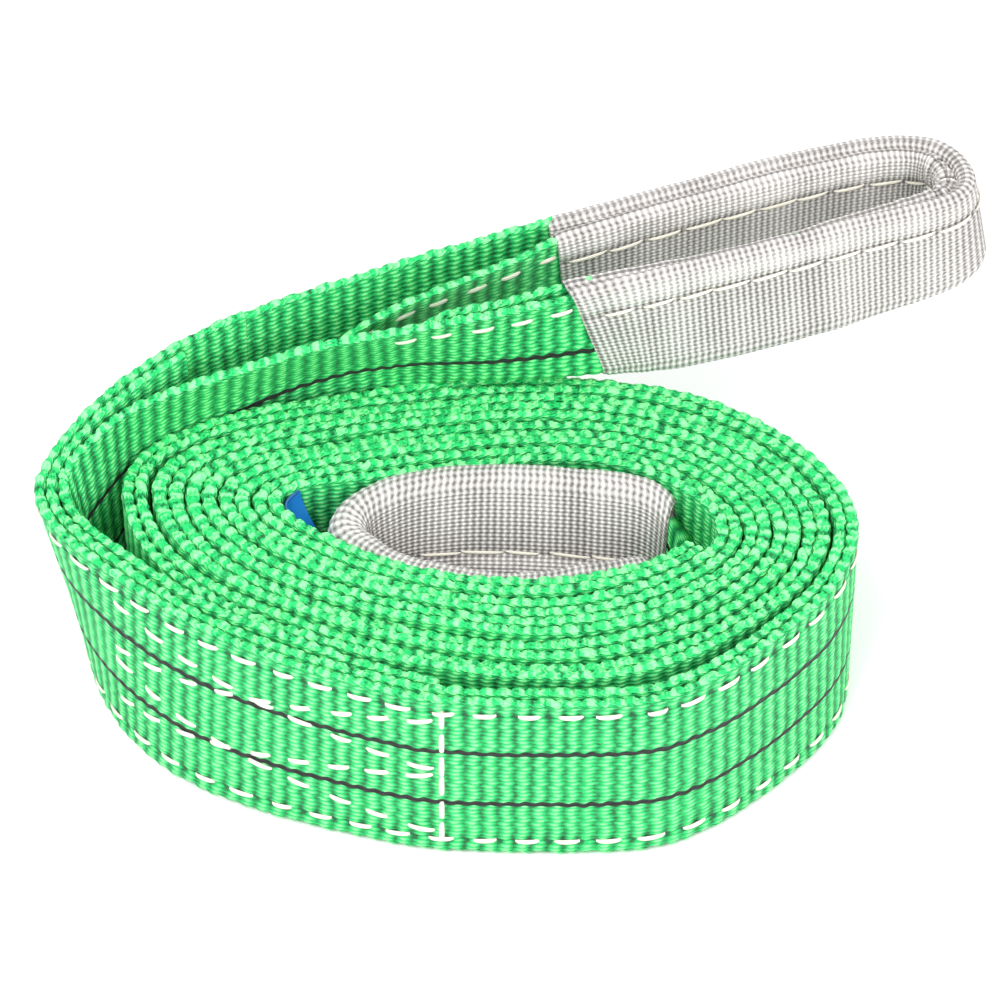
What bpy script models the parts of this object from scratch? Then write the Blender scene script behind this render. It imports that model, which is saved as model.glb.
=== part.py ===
"""Duplex webbing sling with two protected eyes, rolled into an oval coil that stands on its selvedges.

The lengths below are in millimetres and become metres when the meshes are made. The object's origin is
under the middle of its bounding box. +X runs along the coil's long side, -Y faces the front of the coil
and +Z is up. Seen from above the webbing winds clockwise from the inner eye outwards.
"""

import bpy
import numpy as np

MM = 0.001
# The object's origin, measured from the middle of the coil, which is where the routes are measured from
OBJECT_ORIGIN = (8.15, 34.15, 0.0)

# Webbing
WEB_WIDTH = 60.0
PLY = 2.8
PLY_GAP = 0.3
PLY_STEP = PLY + PLY_GAP
TOP = WEB_WIDTH

# Sleeves sewn over the eyes
SLEEVE_WALL = 0.8
FIT_GAP = 0.3
ARM_GAP = 0.3
ARM_STEP = PLY + 2 * (SLEEVE_WALL + FIT_GAP) + ARM_GAP
GREEN_ARM_STEP = PLY + ARM_GAP

# Coil: centre line of the two plies, at eighths of a turn from the right, clockwise from above
INNER_RING = np.array([
    (56.0, 8.0), (44.4, -7.8), (6.0, -15.8), (-37.6, -3.5),
    (-58.6, 14.0), (-43.8, 24.8), (3.0, 32.4), (43.0, 28.2)])
OUTER_RING = np.array([
    (95.1, 4.0), (66.6, -33.0), (12.0, -42.8), (-65.5, -18.6),
    (-94.0, 16.0), (-77.2, 42.0), (0.0, 59.3), (68.0, 46.0)])
TURNS_BETWEEN = np.array([5, 5, 4, 4, 4, 4, 4, 4])
# First and last stations of the coil, counted in steps
COIL_STEPS = (2, 167)
SPLICE_BULGE = 3.4
STEPS_PER_TURN = 32

# Lengthwise fold: points round its bend, and how near the second selvedge the bend may start and end
FOLD_SAMPLES = 3
LAST_FOLD_START = WEB_WIDTH - 10.0
LAST_FOLD_END = WEB_WIDTH - 1.0

# Route of the outermost ply after the coil: top selvedge x, y, z, outward lean in degrees, fold line
NO_FOLD = 66.0
OUTER_ROUTE = np.array([
    (-11.5, -52.8, 60.0, 0.0, NO_FOLD),
    (-35.0, -45.0, 60.0, -2.0, NO_FOLD),
    (-57.5, -36.0, 60.0, -3.0, NO_FOLD),
    (-78.0, -25.2, 60.0, -2.0, NO_FOLD),
    (-95.5, -12.5, 60.05, 2.0, NO_FOLD),
    (-109.0, -1.0, 60.5, 6.0, NO_FOLD),
    (-116.2, 8.5, 61.5, 8.0, NO_FOLD),
    (-118.8, 16.5, 63.5, 8.0, NO_FOLD),
    (-116.5, 23.5, 67.0, 7.0, NO_FOLD),
    (-110.5, 30.0, 71.5, 4.0, NO_FOLD),
    (-104.2, 36.6, 75.5, 1.0, NO_FOLD),
    (-94.9, 44.4, 81.0, 0.0, NO_FOLD),
    (-83.0, 52.3, 86.0, 0.0, NO_FOLD),
    (-66.0, 60.0, 90.0, 0.0, NO_FOLD),
    (-42.5, 68.6, 92.0, 0.0, 62.0),
    (-29.0, 73.8, 92.5, 1.0, 46.0),
    (-15.7, 78.0, 93.0, 2.0, 33.0),
    (3.0, 83.0, 93.0, 3.0, 30.0)])
# Route of the ply that becomes the near leg of the outer eye, from the swing place on
NEAR_ROUTE = np.array([
    (-101.9, 30.0, 72.5, 2.0, NO_FOLD),
    (-98.5, 33.2, 73.5, 1.0, NO_FOLD),
    (-89.8, 40.3, 75.0, 0.0, NO_FOLD),
    (-78.9, 47.3, 76.0, 0.0, NO_FOLD),
    (-65.0, 54.8, 78.0, 0.0, NO_FOLD),
    (-53.8, 59.2, 80.0, 0.0, NO_FOLD),
    (-42.0, 62.6, 83.0, 0.0, 61.0),
    (-30.0, 62.9, 87.0, 0.0, 43.0),
    (-20.0, 62.8, 92.0, -1.0, 31.0),
    (-10.0, 57.5, 93.0, -3.0, 30.0),
    (3.0, 52.0, 93.0, -4.0, 30.0)])
# Outer eye: far leg, bight and near leg
EYE_ROUTE = np.array([
    (3.0, 83.0, 93.0, 3.0, 30.0),
    (15.4, 87.3, 93.0, 3.0, 30.0),
    (30.4, 92.4, 93.0, 3.0, 30.0),
    (58.0, 103.1, 93.0, 3.0, 30.0),
    (85.9, 113.6, 93.0, 2.0, 30.0),
    (107.0, 119.6, 93.0, 0.0, 30.0),
    (119.5, 120.0, 93.0, -4.0, 30.0),
    (127.6, 114.5, 93.0, -7.0, 30.0),
    (130.6, 105.5, 93.0, -8.0, 30.0),
    (128.0, 96.5, 93.0, -8.0, 30.0),
    (119.5, 90.5, 93.0, -9.0, 30.0),
    (100.0, 84.5, 93.0, -8.5, 30.0),
    (84.0, 79.0, 93.0, -8.0, 30.0),
    (54.0, 68.4, 93.0, -7.0, 30.0),
    (23.0, 58.5, 93.0, -5.0, 30.0),
    (3.0, 52.0, 93.0, -4.0, 30.0)])
# Inner eye: lower selvedge x, y, z, outward lean in degrees, fold line, from the front leg to the back leg
INNER_EYE_ROUTE = np.array([
    (48.5, 2.5, 26.0, 0.0, 30.0),
    (42.5, -2.0, 26.0, 0.0, 30.0),
    (30.0, -6.0, 26.0, 0.0, 30.0),
    (6.0, -9.0, 26.0, 0.0, 30.0),
    (-14.0, -5.8, 26.0, 0.0, 30.0),
    (-25.0, -2.2, 26.0, 2.0, 30.0),
    (-33.0, 2.6, 26.0, 3.0, 30.0),
    (-36.8, 9.0, 26.0, 4.0, 30.0),
    (-33.5, 15.2, 26.5, 7.0, 30.0),
    (-24.0, 17.2, 27.0, 11.0, 30.0),
    (-10.0, 16.0, 28.0, 16.0, 30.0),
    (6.0, 14.4, 28.0, 19.0, 30.0),
    (28.0, 13.8, 28.0, 17.0, 30.0),
    (43.0, 14.2, 28.0, 13.0, 30.0),
    (51.2, 12.6, 28.0, 8.0, 30.0),
    (56.4, 8.4, 28.0, 3.0, 30.0)])

# How far along each route its piece runs, counted in rows
TAIL_SPLIT = 9.6
INNER_PLY_END = 12.2
FAR_LEG_END = 16.68
NEAR_LEG_END = 9.55
EYE_STRAP_ENDS = (0.45, 14.75)
NEAR_LEG_START = 0.15
SWING_ROWS = 0.12
STEPS_PER_ROW = 2.4
# Stations of the two eye loops that the sleeves cover
EYE_SLEEVE_ROWS = slice(2, -2)
INNER_SLEEVE_ROWS = slice(4, -5)
INNER_SEAM_ROWS = slice(23, -6)
# Length of the first row step of the outermost ply's route
ROW_LENGTH = 24.7
# Where the seam across the outer ply's end begins, and the short step that finds the tail's corner, in rows
END_SEAM_START = 0.03
CORNER_STEP = 0.1

# Joints
TAIL_HINGE_CLEARANCE = 0.5
EYE_HINGE = (3.0, 67.8, 77.0)

# Label sewn to the innermost face beside the inner eye
LABEL_THICKNESS = 0.8
LABEL_HEIGHT = 46.0
LABEL_TOP = 56.0
LABEL_STEPS = (14, 18)

# Sewing thread, drawn as the run that stands on a face
THREAD_WIDTH = 1.2
THREAD_THICKNESS = 0.5
THREAD_GAP = 0.3
EDGE_SEAM = 5.0
SLEEVE_SEAM = 8.0
# The edge seams start at the back of the coil, this many stations before the outer ply ends
EDGE_SEAM_STATIONS = -40
# The seams of the lap cross each other: distance from the top selvedge at each end, and height over the face
LAP_STATIONS = slice(-24, -13)
CROSSING_LIFT = 0.8
LAP_SEAMS = (
    (8.0, 26.0, 0.0), (27.0, 9.5, CROSSING_LIFT), (29.5, 45.0, 0.0), (52.0, 30.0, CROSSING_LIFT))

COLOURS = {
    "green_webbing": (0.06, 0.60, 0.19), "grey_sleeve": (0.52, 0.50, 0.49),
    "blue_label": (0.01, 0.17, 0.50), "white_thread": (0.88, 0.84, 0.74)}
ROUGHNESS = {"green_webbing": 0.62, "grey_sleeve": 0.68, "blue_label": 0.35, "white_thread": 0.6}


def clear_scene():
    for thing in list(bpy.data.objects):
        bpy.data.objects.remove(thing, do_unlink=True)


def material(slot):
    found = bpy.data.materials.get(slot)
    if found:
        return found
    made = bpy.data.materials.new(slot)
    made.use_nodes = True
    shader = made.node_tree.nodes["Principled BSDF"]
    shader.inputs["Base Color"].default_value = (*COLOURS[slot], 1.0)
    shader.inputs["Roughness"].default_value = ROUGHNESS[slot]
    shader.inputs["Metallic"].default_value = 0.0
    return made


def unit(vectors):
    return vectors / np.linalg.norm(vectors, axis=-1, keepdims=True)


def along(rows, first, last, steps_per_row=STEPS_PER_ROW):
    """Rows of a Catmull-Rom curve through the given rows. Place 2.5 is halfway from row 2 to row 3."""
    places = np.linspace(first, last, max(2, int(np.ceil((last - first) * steps_per_row)) + 1))
    padded = np.vstack([2 * rows[0] - rows[1], rows, 2 * rows[-1] - rows[-2]])
    base = np.clip(np.floor(places).astype(int), 0, len(rows) - 2)
    t = (places - base)[:, None]
    a, b, c, d = (padded[base + k] for k in range(4))
    return 0.5 * (2 * b + (c - a) * t + (2 * a - 5 * b + 4 * c - d) * t ** 2 + (3 * b - a - 3 * c + d) * t ** 3)


def periodic(points, turns):
    """A smooth closed curve through equally spaced points, read at these numbers of turns."""
    waves = np.fft.rfft(points, axis=0) / len(points)
    order = np.arange(len(waves))
    weight = np.where((order == 0) | (order == len(points) / 2), 1, 2)
    return ((np.exp(2j * np.pi * np.outer(turns, order)) * weight) @ waves).real


def left_normal(plan):
    """Unit normals on the left of the direction of travel, which is the outside of the coil."""
    run = unit(np.gradient(plan, axis=0))
    return np.column_stack([-run[:, 1], run[:, 0]])


def coil_rows(first, last, offset, top=TOP):
    """Route rows of an upright ply, this far outside the line midway between the two plies."""
    turns = np.arange(first, last + 1) / STEPS_PER_TURN
    starts = np.arange(8) / 8
    pitch = (OUTER_RING - INNER_RING) / TURNS_BETWEEN[:, None]
    base = INNER_RING - starts[:, None] * pitch
    plan = periodic(base, turns) + turns[:, None] * periodic(pitch, turns)
    rise = np.clip((turns - 5.0) / 0.25, 0, 1)
    plan = plan + left_normal(plan) * (offset + SPLICE_BULGE * rise ** 2 * (3 - 2 * rise))[:, None]
    level = np.ones(len(turns))
    return np.column_stack([plan, level * top, level * 0, level * NO_FOLD])


def stations(rows, sense=1):
    """Each row followed by the direction across the strap from its first selvedge and the way its face looks."""
    run = unit(np.gradient(rows[:, :3], axis=0))
    side = unit(np.column_stack([-run[:, 1], run[:, 0], np.zeros(len(run))]))
    drop = np.array([0.0, 0.0, -1.0])
    lean = np.radians(rows[:, 3])[:, None]
    across = sense * (np.cos(lean) * drop - np.sin(lean) * side)
    face = np.cos(lean) * side + np.sin(lean) * drop
    return np.hstack([rows[:, :5], across, face])


def shifted(rows, offset):
    """The same route moved square to the face of the webbing."""
    moved = rows.copy()
    moved[:, :2] += stations(rows)[:, 8:10] * offset
    return moved


def section_places(fold_line, arm_step, extra=0.0):
    """Distances from the first selvedge at which the folded section has its points, for every row."""
    arc = np.pi * arm_step / 2
    start = np.minimum(fold_line - arc / 2, LAST_FOLD_START)[:, None]
    end = np.minimum(start + arc, LAST_FOLD_END)
    steps = np.linspace(0, 1, FOLD_SAMPLES + 2)
    return np.hstack([0 * start - extra, start + (end - start) * steps, 0 * start + WEB_WIDTH + extra])


def surface(route, places, height, arm_step, bend):
    """Points on the strap at these distances across it and this height over its middle surface."""
    across, face = route[:, None, 5:8], route[:, None, 8:]
    radius = arm_step / 2
    start = (route[:, 4] - np.pi * radius / 2)[:, None]
    turned = np.clip((places - start) / radius, 0, np.pi)
    out = np.minimum(places, start) + radius * np.sin(turned) - np.maximum(places - start - np.pi * radius, 0)
    out = out - bend * height * np.sin(turned)
    aside = bend * radius * (1 - np.cos(turned)) + height * np.cos(turned)
    return route[:, None, :3] + across * out[..., None] + face * aside[..., None]


def loops_of(route, places, low, high, arm_step, bend):
    """One closed loop of points round the section at every row."""
    upper = surface(route, places, high, arm_step, bend)
    lower = surface(route, places, low, arm_step, bend)
    return np.concatenate([upper, lower[:, ::-1]], axis=1)


def sides(base, rows, count, flip=False):
    """Triangles between one loop and the next, split the same way on both faces of the webbing."""
    faces = []
    for i in range(rows - 1):
        near, far = base + i * count, base + (i + 1) * count
        for j in range(count):
            k = (j + 1) % count
            if j < count // 2:
                pair = [(near + j, near + k, far + k), (near + j, far + k, far + j)]
            else:
                pair = [(near + j, near + k, far + j), (near + k, far + k, far + j)]
            faces.extend(three[::-1] if flip else three for three in pair)
    return faces


def add_body(name, points, faces, slot, origin=OBJECT_ORIGIN):
    """A mesh object from points in millimetres, with its faces turned outwards."""
    points = np.asarray(points)
    volume = 0.0
    for face in faces:
        a = points[face[0]]
        for b, c in zip(face[1:-1], face[2:]):
            volume += np.dot(a, np.cross(points[b], points[c]))
    if volume < 0:
        faces = [face[::-1] for face in faces]
    mesh = bpy.data.meshes.new(name)
    mesh.from_pydata(((points - origin) * MM).tolist(), [], faces)
    mesh.materials.append(material(slot))
    mesh.polygons.foreach_set("use_smooth", [True] * len(faces))
    mesh.set_sharp_from_angle(angle=np.radians(40))
    made = bpy.data.objects.new(name, mesh)
    made.location = (np.array(origin) - OBJECT_ORIGIN) * MM
    bpy.context.scene.collection.objects.link(made)
    return made


def ribbon(name, route, places, low, high, slot, arm_step=GREEN_ARM_STEP, bend=-1, origin=OBJECT_ORIGIN):
    """A solid strip between two heights over the middle surface of the webbing on this route."""
    loops = loops_of(route, places, low, high, arm_step, bend)
    rows, count = loops.shape[:2]
    faces = sides(0, rows, count)
    for row, turn in ((0, 1), (rows - 1, -1)):
        for j in range(count // 2 - 1):
            quad = [j, j + 1, count - 2 - j, count - 1 - j]
            faces.append([row * count + k for k in quad[::-turn]])
    return add_body(name, loops.reshape(-1, 3), faces, slot, origin)


def strap(name, route, arm_step=GREEN_ARM_STEP, bend=-1, origin=OBJECT_ORIGIN):
    """A length of webbing. Where its fold line is inside its width it's folded lengthwise."""
    places = np.tile([0.0, WEB_WIDTH], (len(route), 1))
    if route[:, 4].min() < WEB_WIDTH:
        places = section_places(route[:, 4], arm_step)
    return ribbon(name, route, places, -PLY / 2, PLY / 2, "green_webbing", arm_step, bend, origin)


def sleeve(name, route, bend=-1, origin=OBJECT_ORIGIN):
    """A jacket round folded webbing, open at both ends."""
    shells = []
    for gap in (FIT_GAP, FIT_GAP + SLEEVE_WALL):
        places = section_places(route[:, 4], ARM_STEP, gap)
        shells.append(loops_of(route, places, -PLY / 2 - gap, PLY / 2 + gap, ARM_STEP, bend))
    rows, count = shells[0].shape[:2]
    outer = rows * count
    faces = sides(0, rows, count, True) + sides(outer, rows, count)
    for row, turn in ((0, -1), (rows - 1, 1)):
        for j in range(count):
            k = (j + 1) % count
            quad = [row * count + j, row * count + k, outer + row * count + k, outer + row * count + j]
            faces.append(quad[::-turn])
    return add_body(name, np.concatenate(shells).reshape(-1, 3), faces, "grey_sleeve", origin)


def thread(name, route, from_edge, to_edge, lift=0.0, origin=OBJECT_ORIGIN):
    """A row of stitching on a face, between two distances from the first selvedge."""
    middle = np.linspace(from_edge, to_edge, len(route))[:, None]
    places = middle + np.array([-THREAD_WIDTH / 2, THREAD_WIDTH / 2])
    low = PLY / 2 + lift + THREAD_GAP
    arm_step = ARM_STEP if lift else GREEN_ARM_STEP
    return ribbon(name, route, places, low, low + THREAD_THICKNESS, "white_thread", arm_step, origin=origin)


def build():
    clear_scene()
    half = PLY_STEP / 2
    corner = stations(along(OUTER_ROUTE, TAIL_SPLIT, TAIL_SPLIT + CORNER_STEP))[0]
    corner = corner[:3] + corner[8:] * (PLY / 2 + TAIL_HINGE_CLEARANCE)
    tail = (corner[0], corner[1], WEB_WIDTH)

    # Coil, then the outermost loop as far as the place where the tail swings out
    lead_out = along(OUTER_ROUTE, 0.0, TAIL_SPLIT)
    outer = np.vstack([coil_rows(*COIL_STEPS, half), lead_out])
    inner = np.vstack([coil_rows(*COIL_STEPS, -half), shifted(lead_out, -PLY_STEP)])
    outer = stations(outer)
    strap("outer_ply", outer)
    strap("inner_ply", stations(inner))
    strap("splice_ply", stations(shifted(lead_out, -2 * PLY_STEP - FIT_GAP)))

    # Tail, from the swing place to the outer eye
    far = along(OUTER_ROUTE, TAIL_SPLIT + SWING_ROWS, FAR_LEG_END)
    middle = along(OUTER_ROUTE, TAIL_SPLIT + SWING_ROWS, INNER_PLY_END)
    near = along(NEAR_ROUTE, NEAR_LEG_START, NEAR_LEG_END)
    far = stations(far)
    strap("outer_ply_tail", far, origin=tail)
    strap("inner_ply_tail", stations(shifted(middle, -PLY_STEP)), origin=tail)
    strap("near_leg_tail", stations(near), bend=1, origin=tail)

    # Outer eye
    eye_loop = stations(along(EYE_ROUTE, *EYE_STRAP_ENDS))
    strap("eye_strap", eye_loop, arm_step=ARM_STEP, origin=EYE_HINGE)
    sleeve("eye_sleeve", eye_loop[EYE_SLEEVE_ROWS], origin=EYE_HINGE)

    # Inner eye, whose fold is along its top
    inner_loop = stations(along(INNER_EYE_ROUTE, 0.0, len(INNER_EYE_ROUTE) - 1.0), -1)
    strap("inner_eye_strap", inner_loop, arm_step=ARM_STEP)
    sleeve("inner_eye_sleeve", inner_loop[INNER_SLEEVE_ROWS])

    # Label
    inside = -half - PLY / 2 - THREAD_GAP - LABEL_THICKNESS / 2
    route = stations(coil_rows(*LABEL_STEPS, inside, LABEL_TOP))
    places = np.tile([0.0, LABEL_HEIGHT], (len(route), 1))
    ribbon("label", route, places, -LABEL_THICKNESS / 2, LABEL_THICKNESS / 2, "blue_label")

    # Stitching
    jacket = FIT_GAP + SLEEVE_WALL
    low_seam = WEB_WIDTH - EDGE_SEAM
    thread("upper_edge_seam", outer[EDGE_SEAM_STATIONS:], EDGE_SEAM, EDGE_SEAM)
    thread("lower_edge_seam", outer[EDGE_SEAM_STATIONS:], low_seam, low_seam)
    for index, (start, end, lift) in enumerate(LAP_SEAMS, 1):
        thread(f"lap_seam_{index}", outer[LAP_STATIONS], start, end, lift)
    thread("tail_edge_seam", far, EDGE_SEAM, EDGE_SEAM, origin=tail)
    thread("eye_sleeve_seam", eye_loop[EYE_SLEEVE_ROWS], SLEEVE_SEAM, SLEEVE_SEAM, jacket, EYE_HINGE)
    back_leg = inner_loop[INNER_SEAM_ROWS]
    thread("inner_sleeve_seam", back_leg, WEB_WIDTH - SLEEVE_SEAM, WEB_WIDTH - SLEEVE_SEAM, jacket)
    cross = stations(along(OUTER_ROUTE, END_SEAM_START, END_SEAM_START + THREAD_WIDTH / ROW_LENGTH, 1.0))
    places = np.tile([EDGE_SEAM + THREAD_WIDTH, low_seam - THREAD_WIDTH], (len(cross), 1))
    low = PLY / 2 + THREAD_GAP
    ribbon("end_seam", cross, places, low, low + THREAD_THICKNESS, "white_thread")


build()
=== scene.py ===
"""A green duplex webbing sling with grey sleeved eyes, rolled on its edge, on a pale floor.

Routes are in millimetres from the middle of the coil. A strap is swept along a route whose rows give its
top selvedge and its lean, lengthwise fold and squeeze. Its woven ribs and looped selvedges stand raised in the
mesh, and their heights also paint shade into its hollows and highlight onto its crests.
"""

import math

import bpy
import numpy as np
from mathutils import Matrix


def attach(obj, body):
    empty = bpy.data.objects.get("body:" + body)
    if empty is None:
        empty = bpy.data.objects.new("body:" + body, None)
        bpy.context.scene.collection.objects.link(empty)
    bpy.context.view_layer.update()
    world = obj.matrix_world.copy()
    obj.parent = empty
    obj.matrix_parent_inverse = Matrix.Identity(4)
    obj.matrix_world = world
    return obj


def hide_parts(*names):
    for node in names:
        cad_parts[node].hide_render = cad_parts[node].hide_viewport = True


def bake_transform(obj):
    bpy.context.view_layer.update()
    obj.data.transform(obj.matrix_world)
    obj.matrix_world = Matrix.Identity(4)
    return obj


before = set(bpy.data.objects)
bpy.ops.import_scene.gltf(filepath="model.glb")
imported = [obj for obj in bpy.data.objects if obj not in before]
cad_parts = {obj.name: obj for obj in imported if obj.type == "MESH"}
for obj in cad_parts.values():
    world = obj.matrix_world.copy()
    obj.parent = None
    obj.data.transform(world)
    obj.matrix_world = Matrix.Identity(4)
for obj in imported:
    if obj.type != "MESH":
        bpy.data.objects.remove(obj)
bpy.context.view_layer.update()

MM = 0.001
ORIGIN = np.array([8.15, 34.15, 0.0])  # the frame's origin on the routes' plan
WIDTH = 60.0
PLY = 2.8
STEP = 3.1  # from the middle of one ply to the next
FIT = 0.3  # between a strap and its sleeve
WALL = 0.8
RIB = 4.3
ROW = 1.5
SLEEVE_RIB = 1.85
SLEEVE_ROW = 1.15
NO_FOLD = 66.0  # a fold line past the far selvedge
ARM = 5.4  # between the folded arms inside a sleeve
SPACING = 0.62  # along a strap's mesh
SLEEVE_SPACING = 0.46
SEAM = 5.0  # an edge seam's distance from its selvedge
SLEEVE_SEAM = 8.0
TRACERS = (20.0, 40.0)
LABEL_WIDTH = 46.0
FLOOR_LEVEL = -0.0006

# Coil: middle line of the two plies at eighths of a turn
INNER_RING = np.array([
    (56.0, 8.0), (44.4, -7.8), (6.0, -15.8), (-37.6, -3.5),
    (-58.6, 14.0), (-43.8, 24.8), (3.0, 32.4), (43.0, 28.2)])
OUTER_RING = np.array([
    (95.1, 4.0), (66.6, -33.0), (12.0, -42.8), (-65.5, -18.6),
    (-94.0, 16.0), (-77.2, 42.0), (0.0, 59.3), (68.0, 46.0)])
TURNS_BETWEEN = np.array([5, 5, 4, 4, 4, 4, 4, 4])
FIRST_TURN = 0.0625
LAST_TURN = 5.21875
BULGE = 3.4

# Columns of a route: x, y, z of the top selvedge, lean in degrees, fold line, gap between the folded arms,
# splay of the folded arm, how far the part under the coil's top hangs plumb, squeeze of the width
LEAD_OUT = np.array([
    (-11.5, -52.8, 56.0, -3.0, NO_FOLD, 3.1, 0, 0, 0.93),
    (-35.0, -45.0, 56.0, -5.0, NO_FOLD, 3.1, 0, 0, 0.93),
    (-57.5, -36.0, 56.5, -6.5, NO_FOLD, 3.1, 0, 0, 0.94),
    (-78.0, -25.2, 57.5, -6.5, NO_FOLD, 3.1, 0, 0, 0.955),
    (-95.5, -12.5, 59.3, -2.5, NO_FOLD, 3.1, 0, 0, 0.985),
    (-109.0, -1.0, 60.5, 4.5, NO_FOLD, 3.1, 0, 0, 1),
    (-116.6, 8.5, 61.5, 9.5, NO_FOLD, 3.1, 0, 0, 1),
    (-119.4, 16.5, 63.5, 11.0, NO_FOLD, 3.1, 0, 0, 1),
    (-117.1, 23.5, 67.0, 10.0, NO_FOLD, 3.1, 0, 0, 1),
    (-111.0, 30.2, 71.5, 6.0, NO_FOLD, 3.1, 0, 0, 1)])
FAR_LEG = np.array([
    (-104.4, 36.6, 75.0, 2.0, NO_FOLD, 3.1, 0, 0, 1),
    (-94.9, 44.4, 78.5, 0.0, NO_FOLD, 3.1, 0, 0, 1),
    (-83.0, 52.0, 81.5, 0.0, NO_FOLD, 3.1, 0, 0, 1),
    (-66.0, 60.0, 85.0, 0.0, 60.0, 3.1, 0, 0, 1),
    (-55.0, 64.6, 86.5, 0.0, 48.0, 3.2, 0.12, 0, 1),
    (-42.5, 68.4, 88.0, 0.0, 34.5, 3.4, 0.36, 0, 1),
    (-29.0, 73.2, 89.3, 1.0, 30.5, 3.6, 0.40, 0, 1),
    (-15.7, 77.6, 90.5, 2.0, 30.0, 3.8, 0.36, 0, 1),
    (3.0, 83.3, 92.2, 3.0, 30.0, 4.2, 0.24, 0, 1),
    (15.4, 87.7, 93.0, 3.0, 30.0, 4.8, 0.10, 0, 1)])
EYE = np.array([
    (30.4, 93.0, 93.3, 3.0, 30.0, 5.4, 0.03, 0, 1),
    (58.0, 104.0, 93.3, 3.0, 30.0, 5.4, 0.02, 0, 1),
    (85.9, 114.6, 93.3, 2.0, 30.0, 5.4, 0.02, 0, 1),
    (107.0, 120.2, 93.3, 0.0, 30.0, 5.4, 0, 0, 1),
    (119.9, 120.8, 93.0, -5.0, 30.0, 5.4, 0, 0, 1),
    (127.9, 115.6, 92.8, -9.0, 30.0, 5.4, 0, 0, 1),
    (131.0, 106.8, 92.8, -11.0, 30.5, 5.4, 0, 0, 1),
    (128.6, 99.8, 93.2, -9.0, 30.5, 5.4, 0, 0, 1),
    (119.5, 94.4, 93.4, -10.0, 30.5, 5.4, 0, 0, 1),
    (100.0, 87.8, 93.4, -14.0, 31.0, 5.4, 0, 0, 1),
    (84.0, 81.6, 93.4, -16.0, 31.2, 5.4, 0, 0, 1),
    (54.0, 70.6, 93.4, -15.0, 31.0, 5.4, 0, 0, 1),
    (23.0, 60.0, 93.2, -4.0, 30.2, 4.6, 0, 0, 1)])
# The near leg back to the left bend, where it goes in beside the other plies
NEAR_LEG = np.array([
    (3.0, 53.2, 92.6, 9.0, 30.5, 3.6, 0, 1, 1),
    (-10.0, 51.4, 91.2, 15.0, 30.5, 3.1, 0, 1, 1),
    (-23.5, 51.0, 88.0, 22.0, 36.0, 3.1, 0, 1, 1),
    (-38.3, 51.5, 84.0, 24.0, 47.0, 3.1, 0, 1, 1),
    (-53.8, 49.6, 80.5, 24.0, 58.0, 3.1, 0, 1, 1),
    (-66.4, 46.2, 78.0, 21.0, NO_FOLD, 3.1, 0, 1, 1),
    (-79.4, 42.2, 76.3, 16.0, NO_FOLD, 3.1, 0, 1, 1),
    (-90.3, 38.0, 75.0, 7.0, NO_FOLD, 3.1, 0, 1, 1),
    (-98.9, 32.6, 74.0, 1.0, NO_FOLD, 3.1, 0, 0.5, 1)])
# A tenth column swells the ply's thickness, which only the coil does
LEAD_OUT, FAR_LEG, EYE, NEAR_LEG = (
    np.column_stack([rows, np.ones(len(rows))]) for rows in (LEAD_OUT, FAR_LEG, EYE, NEAR_LEG))
# x, y, z, lean and fold line only
INNER_EYE = np.array([
    (48.5, 2.5, 18.0, 0.0, 30.0), (42.5, -2.0, 21.0, 0.0, 30.0), (30.0, -6.0, 22.5, 0.0, 30.0),
    (6.0, -9.0, 21.0, 0.0, 30.0), (-14.0, -5.8, 21.5, 0.0, 30.0), (-25.0, -2.2, 22.5, 2.0, 30.0),
    (-33.0, 2.6, 24.5, 3.0, 30.0), (-37.2, 9.0, 25.5, 6.0, 30.0), (-34.0, 15.6, 27.0, 9.0, 30.0),
    (-24.0, 18.2, 29.5, 14.0, 30.0), (-10.0, 17.4, 32.0, 19.0, 30.0), (6.0, 16.2, 32.8, 22.0, 30.0),
    (28.0, 15.4, 32.3, 20.0, 30.0), (43.0, 15.0, 30.5, 15.0, 30.0), (51.2, 12.8, 23.0, 8.0, 30.0),
    (55.6, 9.0, 16.0, 3.0, 30.0)])
HANG_FROM = 62.0  # the height under which a plumb part hangs straight down
HANG_SOFT = 3.0


def unit(v):
    return v / np.maximum(np.linalg.norm(v, axis=-1, keepdims=True), 1e-9)


def step(x):
    x = np.clip(x, 0, 1)
    return x * x * (3 - 2 * x)


def spline(rows, count):
    """A Catmull-Rom curve through the rows."""
    places = np.linspace(0, len(rows) - 1, count)
    padded = np.vstack([2 * rows[0] - rows[1], rows, 2 * rows[-1] - rows[-2]])
    base = np.clip(np.floor(places).astype(int), 0, len(rows) - 2)
    t = (places - base)[:, None]
    a, b, c, d = (padded[base + k] for k in range(4))
    square = (2 * a - 5 * b + 4 * c - d) * t ** 2
    cube = (3 * b - a - 3 * c + d) * t ** 3
    return 0.5 * (2 * b + (c - a) * t + square + cube)


def periodic(points, turns):
    """The closed smooth curve through the points, at a number of turns."""
    waves = np.fft.rfft(points, axis=0) / len(points)
    order = np.arange(len(waves))
    weight = np.where((order == 0) | (order == len(points) / 2), 1, 2)
    return ((np.exp(2j * np.pi * np.outer(turns, order)) * weight) @ waves).real


def left_normal(plan):
    run = unit(np.gradient(plan, axis=0))
    return np.column_stack([-run[:, 1], run[:, 0]])


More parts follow.
